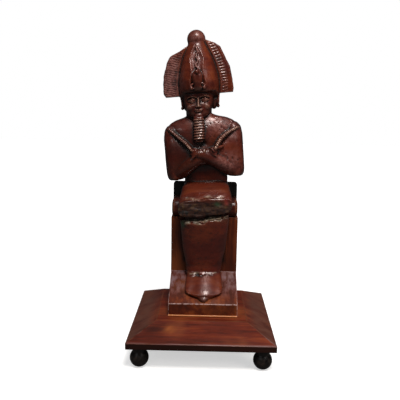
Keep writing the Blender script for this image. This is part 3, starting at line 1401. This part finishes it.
# %% Smoothing and keeping marks
def smoothed(values, edges, rounds):
    """Values averaged with their neighbours along the edges, several times over."""
    count = len(values)
    degree = np.bincount(edges.ravel(), minlength=count)[:, None]
    for _ in range(rounds):
        total = np.zeros_like(values)
        for k in range(values.shape[1]):
            total[:, k] = (np.bincount(edges[:, 0], weights=values[edges[:, 1], k], minlength=count)
                           + np.bincount(edges[:, 1], weights=values[edges[:, 0], k], minlength=count))
        values = 0.5 * values + 0.5 * total / degree
    return values


def stands_out(rounds):
    """How far each point lies above the smoothed surface, in millimetres."""
    return np.einsum("ij,ij->i", places - smoothed(places, edges, rounds), outward_way) / MM


def mark(piece, name, values, rounds=1):
    """Keeps values for the material, softened a little between neighbours."""
    layer = piece.data.attributes.new(name, "FLOAT", "POINT")
    soft = smoothed(np.clip(values, 0.0, 1.0)[:, None], edges, rounds)[:, 0]
    layer.data.foreach_set("value", soft.astype(np.float32))


# %% Hollows and ridges
fine, broad = stands_out(8), stands_out(90)
channel_half = np.interp(uh, CHANNEL_HEIGHTS, CHANNEL_HALVES)
in_channel = ramp_up(channel_half - np.abs(ux + 0.8), 0.0, 1.2) * ramp_up(uh, 108.0, 114.0)
in_channel *= ramp_up(facing, 0.2, 0.6)
under_hood = near(uh, 94.6, 2.2) * near(np.abs(ux + 1.0), 0.0, 6.5) * ramp_up(facing, 0.1, 0.5)
void = near(h, broken_rim(x) + 1.2, 1.3) * ahead(f, 10.0, 14.0)
tang = ahead(f, 30.4, 31.6)
hollow = np.clip((-fine - 0.03) / 0.12, 0, 1) * 0.7 + np.clip((-broad - 0.1) / 0.9, 0, 1) * 0.8
ridge = np.clip((fine - 0.05) / 0.16, 0, 1) * 0.8 + np.clip((broad - 0.5) / 2.0, 0, 1) * 0.3
hollow = np.maximum(hollow * (1 - 0.85 * in_channel), 0.9 * under_hood * (1 - np.clip(ridge, 0, 1)))
between_fists = near(ux, 4.6, 3.0) + near(ux, -3.8, 2.8)
between_fists = between_fists * near(uh, 44.0, 2.8) * ramp_up(facing, -0.2, 0.3)
hollow = np.maximum(hollow, 0.5 * np.clip(between_fists, 0, 1))
mark(king, "hollow", np.maximum(np.maximum(hollow, void), 0.45 * tang))
mark(king, "ridge", ridge)
print("points in hollows", int((hollow > 0.5).sum()), "and on ridges", int((ridge > 0.5).sum()))

# %% [markdown]
# Polished, shaded and stained places
#
# Some of what shows depends on the place and not on the relief. The sceptres, the
# beard and the face are rubbed bright on their high points. The left arm and all
# that faces down is darker, and so are the flanks, which are marked by how far the
# surface turns from the front and the back. A mark stays on the bronze as one walks
# round it, where a shade that followed the eye would slide. The crown's sides, the
# lap, the arms and the foot are more orange, and a few places are pale and dusty.

# %% Rubbed and shaded places
FLANK_START, FLANK_RUN, FLANK_AMOUNT = 0.36, 0.42, 0.65


def beside(path, across, height, width):
    """How close places in the front view are to a line of points."""
    nearest = np.full(len(across), 1e9)
    for (x0, _, h0), (x1, _, h1) in zip(path, path[1:]):
        run, rise = x1 - x0, h1 - h0
        t = np.clip(((across - x0) * run + (height - h0) * rise) / (run ** 2 + rise ** 2), 0, 1)
        nearest = np.minimum(nearest, np.hypot(across - x0 - t * run, height - h0 - t * rise))
    return np.exp(-(nearest / width) ** 2)


on_rods = beside(SCEPTRES[0], ux, uh, 1.2) * (0.35 + 0.65 * ramp_up(-uh, -54.0, -47.0))
on_rods = (on_rods + beside(SCEPTRES[1], ux, uh, 1.2)) * ramp_up(uh, 43.5, 46.5)
on_face = near(ux, -1.0, 8.5) * near(uh, 84.5, 7.0)
on_beard = near(ux, -2.6, 5.0) * ramp_up(uh, 51.0, 54.0) * ramp_up(-uh, -72.0, -70.0)
on_barbs = near(ux, crown_half_width(uh) + 4.6, 3.6) * ramp_up(uh, 91.0, 93.0)
on_knob = near(ux, 0.4, 1.8) * near(uh, 43.6, 2.2)
bright = on_rods + 0.5 * on_beard + 0.12 * on_barbs + 0.5 * on_knob + 0.7 * on_face
bright = bright * ramp_up(facing, 0.0, 0.4) * (0.45 + 0.55 * ramp_up(field(upper, 3.0, 31), -0.5, 0.4))
mark(king, "bright", bright * np.clip(fine / 0.12, 0, 1))
left_arm = near(ux, -19.0, 11.0) * near(uh, 34.0, 17.0)
underneath = ramp_up(-outward_way[:, 2], -0.15, 0.65) * ramp_up(uh, 14.0, 20.0)
mark(king, "shade", 0.75 * np.maximum(left_arm * ramp_up(facing, -0.4, 0.2), underneath), 3)
flank = np.clip((1.0 - np.abs(facing) - FLANK_START) / FLANK_RUN, 0.0, 1.0)
mark(king, "flank", FLANK_AMOUNT * flank)
print("points on flanks", int((flank > 0.5).sum()))

# %% Orange and pale places
crown_sides = ramp_up(uh, 96.0, 104.0) * near(np.abs(ux), 9.0, 6.0)
lap_top = near(h, 13.0, 9.0) * ramp_up(f, 20.0, 30.0)
arm_fronts = near(ux, 25.0, 8.0) * near(uh, 34.0, 14.0) + 0.6 * near(ux, -12.0, 7.0) * near(uh, 60.0, 7.0)
foot_top = ahead(f, 10.0, 13.0) * (h < ankle_break(x) - 1.5)
orange = crown_sides + 0.8 * lap_top + 0.7 * arm_fronts + 0.8 * foot_top
mark(king, "orange", orange * ramp_up(facing, -0.4, 0.2))
pale = 0.8 * near(ux, 17.0, 12.0) * near(uh, 63.0, 10.0) + 1.3 * near(ux, 20.0, 9.0) * near(uh, 33.0, 7.0)
pale += 2.6 * near(ux, -24.0, 7.5) * near(uh, 106.0, 17.0) + 0.6 * near(uh, 138.0, 5.0)
mark(king, "pale", np.maximum(pale * ramp_up(facing, -0.2, 0.4), 0.75 * in_channel))
print("orange points", int((orange > 0.5).sum()), "and pale points", int((pale > 0.5).sum()))

# %% [markdown]
# The breaks' own colours
#
# Where the bronze broke, its crust is gone. The torn rim, its second tear and parts
# of the knee's edge show pale dusty metal in patches, with a little green on some of
# them. The face of the break is rough and nearly black, and its right end has a red
# patch. Each is a mark again, broken up by a random field.

# %% Marks on the breaks
knee_edge_h = knee_edge(x)
across_lap = np.abs(x) < LAP_HALF
front_of_shin = ahead(f, 12.0, 17.0)
left_of_middle = x < -3.0
bare = near(h, broken_rim(x) - 0.8, 1.0 + 0.35 * left_of_middle) * front_of_shin
bare = bare * ramp_up(field(lower, 2.4, 21), -0.6, 0.0)
tear = near(h, second_tear(x, 2.6), 0.5) * ramp_up(x, -12.0, -4.0)
bare = np.maximum(bare, 0.8 * tear * front_of_shin * ramp_up(field(lower, 2.0, 25), -0.4, 0.2))
edge_patches = near(x, -13.0, 5.5) + 0.9 * near(x, 2.5, 3.2) + 0.5 * near(x, 12.0, 3.5)
bare = np.maximum(bare, 0.8 * near(h, knee_edge_h - 0.2, 0.75) * ahead(f, 14.0, 18.0) * edge_patches
                  * ramp_up(field(lower, 1.4, 22), -0.5, 0.2) * across_lap)
bare = np.maximum(bare, 0.55 * near(h, ankle_break(x) + 0.5, 0.6) * ahead(f, 9.0, 11.0)
                  * ramp_up(field(lower, 2.0, 23), -0.2, 0.3))
mark(king, "bare", bare)
rough_face = ahead(f, 18.6, 19.8) * (h > -12) * (h < knee_edge_h - 0.6) * across_lap
mark(king, "rough_face", rough_face * ramp_up(-h, -6.5, 2.0))
green = near(x, -20.0, 2.2) * near(h, -19.0, 3.5) * (f > THRONE_DEPTH + 6)
green = np.maximum(green, 0.8 * near(x, 9.5, 2.4) * near(h, 0.2, 1.8) * (f > THRONE_DEPTH + 16))
green = np.maximum(green, 0.5 * bare * ramp_up(field(lower, 3.0, 24), 0.2, 0.6))
mark(king, "green", green)
red_patch = near(x, 17.2, 2.6) ** 2 * near(h, 2.2, 4.4) ** 2 * (f > THRONE_DEPTH + 14)
mark(king, "red_patch", red_patch * ramp_up(field(lower, 2.2, 26), -0.7, 0.0))
print("bare points", int((bare > 0.5).sum()))

# %% [markdown]
# Patinated bronze
#
# The colour isn't the metal's but its skin's: a thin cuprite crust, waxed to a
# gloss. So the shader is only partly metallic, with a clear coat for the wax. Broad
# blotches run from deep liver red to orange brown, with darker streaks along the
# brushing, and then each mark lays its own tint over them: dark dirt in hollows,
# pinkish rubbed ridges, near-black flanks, and bare, dusty and here and there green
# metal on the breaks. All of it reads object coordinates or the marks made above.

# %% Bronze finish
DEEP_RED, LIVER_RED, WARM_RED = (0.050, 0.0066, 0.0038), (0.090, 0.0106, 0.0050), (0.132, 0.0210, 0.0066)
DARK_STREAK, DIRT, SHADED = (0.036, 0.0065, 0.0040), (0.024, 0.0055, 0.0040), (0.036, 0.0070, 0.0042)
ORANGE_DEEP, ORANGE_BROWN = (0.088, 0.0120, 0.0055), (0.138, 0.0205, 0.0072)
ORANGE_LIGHT = (0.190, 0.0370, 0.0105)
PALE_SKIN, RUBBED, RUBBED_BRIGHT = (0.24, 0.088, 0.074), (0.21, 0.075, 0.050), (0.36, 0.22, 0.155)
PACKED_DIRT, FLANK_DARK = (0.0075, 0.0040, 0.0030), (0.010, 0.0040, 0.0030)
BREAK_BLACK, BREAK_BROWN, BREAK_OCHRE = (0.003, 0.003, 0.002), (0.036, 0.009, 0.004), (0.075, 0.038, 0.013)
BARE_BROWN, BARE_TAN, BARE_DUST = (0.10, 0.045, 0.012), (0.34, 0.25, 0.16), (0.50, 0.44, 0.36)
RED_OXIDE, GREEN_OXIDE = (0.19, 0.020, 0.015), (0.028, 0.075, 0.034)
DULL_GREY = (0.62, 0.62, 0.62)


def aged_bronze():
    made, tree, shader = new_finish("aged_bronze")
    here = placed(tree)
    blotches = noise_of(tree, here, 48.0, 3.0, 0.5)
    mottle = noise_of(tree, here, 300.0, 5.0, 0.65)
    brushing = noise_of(tree, placed(tree, stretch=(0.12, 1.0, 1.0)), 650.0, 3.0, 0.6)
    specks = noise_of(tree, here, 1300.0, 2.0, 0.5)
    streaks = noise_of(tree, placed(tree, (0.0, 0.3, 0.0), (0.14, 1.0, 1.0)), 170.0, 4.0, 0.6)
    orange = ramp(tree, streaks, (0.36, ORANGE_DEEP), (0.50, ORANGE_BROWN), (0.66, ORANGE_LIGHT))
    broken = ramp(tree, mottle, (0.36, BREAK_BLACK), (0.51, BREAK_BROWN), (0.66, BREAK_OCHRE))
    bare_metal = ramp(tree, mottle, (0.36, BARE_BROWN), (0.50, BARE_TAN), (0.64, BARE_DUST))
    colour = layered(
        tree, ramp(tree, blotches, (0.34, DEEP_RED), (0.50, LIVER_RED), (0.66, WARM_RED)),
        (ramp(tree, streaks, (0.36, 0.55), (0.50, 0.0)), DARK_STREAK),
        (ramp(tree, mottle, (0.34, 0.6), (0.46, 0.0)), DIRT),
        ("shade", SHADED),
        ("orange", orange),
        (patchy(tree, "pale", mottle, (0.42, 0.15), (0.60, 0.9)), PALE_SKIN),
        (patchy(tree, "ridge", mottle, (0.38, 0.15), (0.58, 0.8)), RUBBED),
        ("bright", RUBBED_BRIGHT),
        ("hollow", PACKED_DIRT),
        ("rough_face", broken),
        ("red_patch", RED_OXIDE),
        ("bare", bare_metal),
        ("green", GREEN_OXIDE),
        ("flank", FLANK_DARK))
    tree.links.new(colour, shader.inputs["Base Color"])

    dull = calculate(tree, "MULTIPLY", attribute(tree, "pale"), 0.8)
    for name in ("rough_face", "bare", "hollow"):
        dull = calculate(tree, "MAXIMUM", attribute(tree, name), dull)
    rough = blend_colours(tree, dull, ramp(tree, blotches, (0.36, 0.36), (0.62, 0.25)), DULL_GREY)
    tree.links.new(rough, shader.inputs["Roughness"])
    shader.inputs["Metallic"].default_value = 0.12
    shader.inputs["Coat Weight"].default_value = 0.25
    shader.inputs["Coat Roughness"].default_value = 0.10
    relief = bumped(tree, brushing, 0.12, 0.05 * MM)
    relief = bumped(tree, mottle, 0.10, 0.08 * MM, relief)
    relief = bumped(tree, specks, 0.05, 0.03 * MM, relief)
    tree.links.new(relief, shader.inputs["Normal"])
    return made


hand_over(king, "bronze_king", aged_bronze(), "figure")
